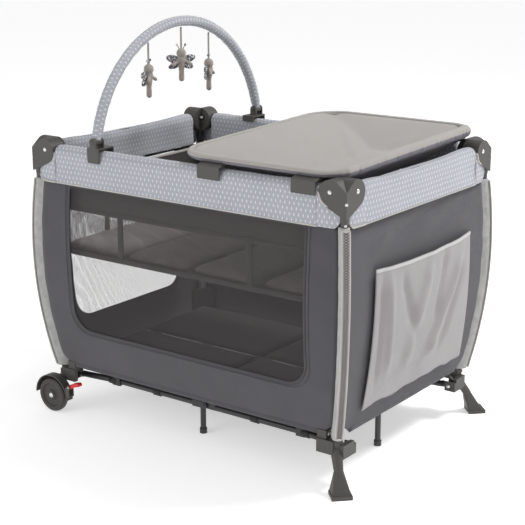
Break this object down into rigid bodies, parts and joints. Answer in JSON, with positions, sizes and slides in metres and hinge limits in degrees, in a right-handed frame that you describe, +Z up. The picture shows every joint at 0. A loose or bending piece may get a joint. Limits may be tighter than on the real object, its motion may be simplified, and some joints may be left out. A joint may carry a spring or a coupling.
{
  "type": "travel play yard",
  "caption": "Folding travel play yard with padded rails, mesh and fabric walls, bassinet insert, lift-off changing top, toy arch, casters and feet.",
  "frame": {"origin": "on the floor, under the middle of the yard", "axes": "+Z up, +X towards the end with the feet and the pocket, -X towards the wheels, -Y towards the front long side, +Y towards the back"},
  "size_m": [1.0814, 0.7854, 1.1149],
  "materials": {
    "frame_tube": "satin black powder coat",
    "taupe_plastic": "fine moulded texture",
    "rivet_steel": "bright zinc",
    "wheel_plastic": "moulded, slightly glossy",
    "red_lever": "glossy",
    "sleeve_cloth": "heather woven cloth",
    "rail_cover_cloth": "quilted printed cloth",
    "wall_cloth": "plain woven nylon",
    "mesh_cloth": "open knitted mesh",
    "taupe_cloth": "plain woven polyester",
    "mat_cloth": "woven nylon",
    "mattress_cloth": "brushed cloth",
    "plush": "short plush"
  },
  "bodies": {
    "corner_front_right": {"post_front_right": "frame_tube", "bracket_front_right": "taupe_plastic", "sleeve_front_right": "sleeve_cloth", "rivets_front_right": "rivet_steel", "foot_front_right": "taupe_plastic", "side_panel_front": "wall_cloth", "side_panel_right": "wall_cloth", "pocket": "taupe_cloth", "floor_mat": "mat_cloth"},
    "corner_front_left": {"post_front_left": "frame_tube", "bracket_front_left": "taupe_plastic", "sleeve_front_left": "sleeve_cloth", "rivets_front_left": "rivet_steel", "caster_fork_front_left": "taupe_plastic", "side_panel_left": "wall_cloth"},
    "corner_back_right": {"post_back_right": "frame_tube", "bracket_back_right": "taupe_plastic", "sleeve_back_right": "sleeve_cloth", "rivets_back_right": "rivet_steel", "foot_back_right": "taupe_plastic", "side_panel_back": "wall_cloth"},
    "corner_back_left": {"post_back_left": "frame_tube", "bracket_back_left": "taupe_plastic", "sleeve_back_left": "sleeve_cloth", "rivets_back_left": "rivet_steel", "caster_fork_back_left": "taupe_plastic"},
    "top_rail_front_right": {"top_rail_front_right": "frame_tube", "rail_cover_front": "rail_cover_cloth"},
    "top_rail_front_left": {"top_rail_front_left": "frame_tube"},
    "top_rail_back_right": {"top_rail_back_right": "frame_tube", "rail_cover_back": "rail_cover_cloth"},
    "top_rail_back_left": {"top_rail_back_left": "frame_tube"},
    "top_rail_right_front": {"top_rail_right_front": "frame_tube", "rail_cover_right": "rail_cover_cloth"},
    "top_rail_right_back": {"top_rail_right_back": "frame_tube"},
    "top_rail_left_front": {"top_rail_left_front": "frame_tube", "rail_cover_left": "rail_cover_cloth"},
    "top_rail_left_back": {"top_rail_left_back": "frame_tube"},
    "bassinet": {"bassinet_shell": "mesh_cloth", "bassinet_mattress": "mattress_cloth", "toy_bar_clamps": "taupe_plastic"},
    "changer": {"changer_frame": "frame_tube", "changer_sling": "taupe_cloth", "changer_clips": "taupe_plastic"},
    "toy_bar": {"toy_bar": "rail_cover_cloth"},
    "toy_front": {"toy_front": "plush"},
    "toy_middle": {"toy_middle": "plush"},
    "toy_back": {"toy_back": "plush"},
    "wheel_front": {"wheel_front": "wheel_plastic"},
    "wheel_back": {"wheel_back": "wheel_plastic"},
    "brake_lever_front": {"brake_lever_front": "red_lever"},
    "brake_lever_back": {"brake_lever_back": "red_lever"},
    "floor_rail_front_right": {"floor_rail_front_right": "frame_tube"},
    "floor_rail_front_left": {"floor_rail_front_left": "frame_tube"},
    "floor_rail_back_right": {"floor_rail_back_right": "frame_tube"},
    "floor_rail_back_left": {"floor_rail_back_left": "frame_tube"},
    "floor_rail_right_front": {"floor_rail_right_front": "frame_tube"},
    "floor_rail_right_back": {"floor_rail_right_back": "frame_tube"},
    "floor_rail_left_front": {"floor_rail_left_front": "frame_tube"},
    "floor_rail_left_back": {"floor_rail_left_back": "frame_tube"}
  },
  "joints": [
    {"name": "fold", "type": "hinge", "parent": "corner_front_right", "child": "top_rail_front_right", "pos_m": [0.466, -0.343, 0.768], "axis": [0, -1, 0], "range_deg": [0, 72], "deforming": ["rail_cover_front", "rail_cover_back", "rail_cover_right", "rail_cover_left", "side_panel_front", "side_panel_back", "side_panel_right", "side_panel_left", "pocket", "floor_mat", "bassinet_shell", "bassinet_mattress"]},
    {"name": "front_rail_middle", "type": "hinge", "parent": "top_rail_front_right", "child": "top_rail_front_left", "pos_m": [0, -0.343, 0.768], "axis": [0, 1, 0], "range_deg": [0, 145]},
    {"name": "front_left_corner", "type": "hinge", "parent": "top_rail_front_left", "child": "corner_front_left", "pos_m": [-0.466, -0.343, 0.768], "axis": [0, -1, 0], "range_deg": [0, 73]},
    {"name": "right_rail_front_end", "type": "hinge", "parent": "corner_front_right", "child": "top_rail_right_front", "pos_m": [0.491, -0.318, 0.768], "axis": [-1, 0, 0], "range_deg": [0, 73]},
    {"name": "right_rail_middle", "type": "hinge", "parent": "top_rail_right_front", "child": "top_rail_right_back", "pos_m": [0.491, 0, 0.768], "axis": [1, 0, 0], "range_deg": [0, 145]},
    {"name": "back_right_corner", "type": "hinge", "parent": "top_rail_right_back", "child": "corner_back_right", "pos_m": [0.491, 0.318, 0.768], "axis": [-1, 0, 0], "range_deg": [0, 73]},
    {"name": "back_rail_right_end", "type": "hinge", "parent": "corner_back_right", "child": "top_rail_back_right", "pos_m": [0.466, 0.343, 0.768], "axis": [0, -1, 0], "range_deg": [0, 73]},
    {"name": "back_rail_middle", "type": "hinge", "parent": "top_rail_back_right", "child": "top_rail_back_left", "pos_m": [0, 0.343, 0.768], "axis": [0, 1, 0], "range_deg": [0, 145]},
    {"name": "back_left_corner", "type": "hinge", "parent": "top_rail_back_left", "child": "corner_back_left", "pos_m": [-0.466, 0.343, 0.768], "axis": [0, -1, 0], "range_deg": [0, 73]},
    {"name": "left_rail_front_end", "type": "hinge", "parent": "corner_front_left", "child": "top_rail_left_front", "pos_m": [-0.491, -0.318, 0.768], "axis": [-1, 0, 0], "range_deg": [0, 73]},
    {"name": "left_rail_middle", "type": "hinge", "parent": "top_rail_left_front", "child": "top_rail_left_back", "pos_m": [-0.491, 0, 0.768], "axis": [1, 0, 0], "range_deg": [0, 145]},
    {"name": "front_floor_rail_end", "type": "hinge", "parent": "corner_front_right", "child": "floor_rail_front_right", "pos_m": [0.466, -0.274, 0.095], "axis": [0, 1, 0], "range_deg": [0, 73]},
    {"name": "front_floor_rail_middle", "type": "hinge", "parent": "floor_rail_front_right", "child": "floor_rail_front_left", "pos_m": [0, -0.256, 0.095], "axis": [0, -1, 0], "range_deg": [0, 145]},
    {"name": "back_floor_rail_end", "type": "hinge", "parent": "corner_back_right", "child": "floor_rail_back_right", "pos_m": [0.466, 0.274, 0.095], "axis": [0, 1, 0], "range_deg": [0, 73]},
    {"name": "back_floor_rail_middle", "type": "hinge", "parent": "floor_rail_back_right", "child": "floor_rail_back_left", "pos_m": [0, 0.256, 0.095], "axis": [0, -1, 0], "range_deg": [0, 145]},
    {"name": "right_floor_rail_end", "type": "hinge", "parent": "corner_front_right", "child": "floor_rail_right_front", "pos_m": [0.43, -0.318, 0.14], "axis": [1, 0, 0], "range_deg": [0, 73]},
    {"name": "right_floor_rail_middle", "type": "hinge", "parent": "floor_rail_right_front", "child": "floor_rail_right_back", "pos_m": [0.43, 0, 0.14], "axis": [-1, 0, 0], "range_deg": [0, 145]},
    {"name": "left_floor_rail_end", "type": "hinge", "parent": "corner_front_left", "child": "floor_rail_left_front", "pos_m": [-0.43, -0.318, 0.14], "axis": [1, 0, 0], "range_deg": [0, 73]},
    {"name": "left_floor_rail_middle", "type": "hinge", "parent": "floor_rail_left_front", "child": "floor_rail_left_back", "pos_m": [-0.43, 0, 0.14], "axis": [-1, 0, 0], "range_deg": [0, 145]},
    {"name": "bassinet_lift", "type": "slide", "parent": "corner_front_right", "child": "bassinet", "axis": [0, 0, 1], "range_m": [0, 0.64]},
    {"name": "changer_lift", "type": "slide", "parent": "bassinet", "child": "changer", "axis": [0, 0, 1], "range_m": [0, 0.25]},
    {"name": "toy_bar_tilt", "type": "hinge", "parent": "bassinet", "child": "toy_bar", "pos_m": [-0.28, 0.357, 0.808], "axis": [0, 1, 0], "range_deg": [-35, 35]},
    {"name": "toy_front_swing", "type": "hinge", "parent": "toy_bar", "child": "toy_front", "pos_m": [-0.28, -0.141, 1.05131], "axis": [0, 1, 0], "range_deg": [-40, 40]},
    {"name": "toy_middle_swing", "type": "hinge", "parent": "toy_bar", "child": "toy_middle", "pos_m": [-0.28, 0, 1.083], "axis": [0, 1, 0], "range_deg": [-40, 40]},
    {"name": "toy_back_swing", "type": "hinge", "parent": "toy_bar", "child": "toy_back", "pos_m": [-0.28, 0.124, 1.05854], "axis": [0, 1, 0], "range_deg": [-40, 40]},
    {"name": "wheel_front_spin", "type": "hinge", "parent": "corner_front_left", "child": "wheel_front", "pos_m": [-0.48, -0.359, 0.05], "axis": [0, 1, 0], "continuous": true},
    {"name": "brake_front_press", "type": "hinge", "parent": "corner_front_left", "child": "brake_lever_front", "pos_m": [-0.412, -0.359, 0.086], "axis": [0, 1, 0], "range_deg": [0, 18]},
    {"name": "wheel_back_spin", "type": "hinge", "parent": "corner_back_left", "child": "wheel_back", "pos_m": [-0.48, 0.359, 0.05], "axis": [0, 1, 0], "continuous": true},
    {"name": "brake_back_press", "type": "hinge", "parent": "corner_back_left", "child": "brake_lever_back", "pos_m": [-0.412, 0.359, 0.086], "axis": [0, 1, 0], "range_deg": [0, 18]}
  ],
  "couplings": [
    {"joint": "front_rail_middle", "follows": "fold", "ratio": 2},
    {"joint": "front_left_corner", "follows": "fold", "ratio": 1},
    {"joint": "right_rail_front_end", "follows": "fold", "ratio": 1},
    {"joint": "right_rail_middle", "follows": "fold", "ratio": 2},
    {"joint": "back_right_corner", "follows": "fold", "ratio": 1},
    {"joint": "back_rail_right_end", "follows": "fold", "ratio": 1},
    {"joint": "back_rail_middle", "follows": "fold", "ratio": 2},
    {"joint": "back_left_corner", "follows": "fold", "ratio": 1},
    {"joint": "left_rail_front_end", "follows": "fold", "ratio": 1},
    {"joint": "left_rail_middle", "follows": "fold", "ratio": 2},
    {"joint": "front_floor_rail_end", "follows": "fold", "ratio": 1},
    {"joint": "front_floor_rail_middle", "follows": "fold", "ratio": 2},
    {"joint": "back_floor_rail_end", "follows": "fold", "ratio": 1},
    {"joint": "back_floor_rail_middle", "follows": "fold", "ratio": 2},
    {"joint": "right_floor_rail_end", "follows": "fold", "ratio": 1},
    {"joint": "right_floor_rail_middle", "follows": "fold", "ratio": 2},
    {"joint": "left_floor_rail_end", "follows": "fold", "ratio": 1},
    {"joint": "left_floor_rail_middle", "follows": "fold", "ratio": 2},
    {"joint": "bassinet_lift", "follows": "fold", "m_per_rad": 0.5}
  ]
}
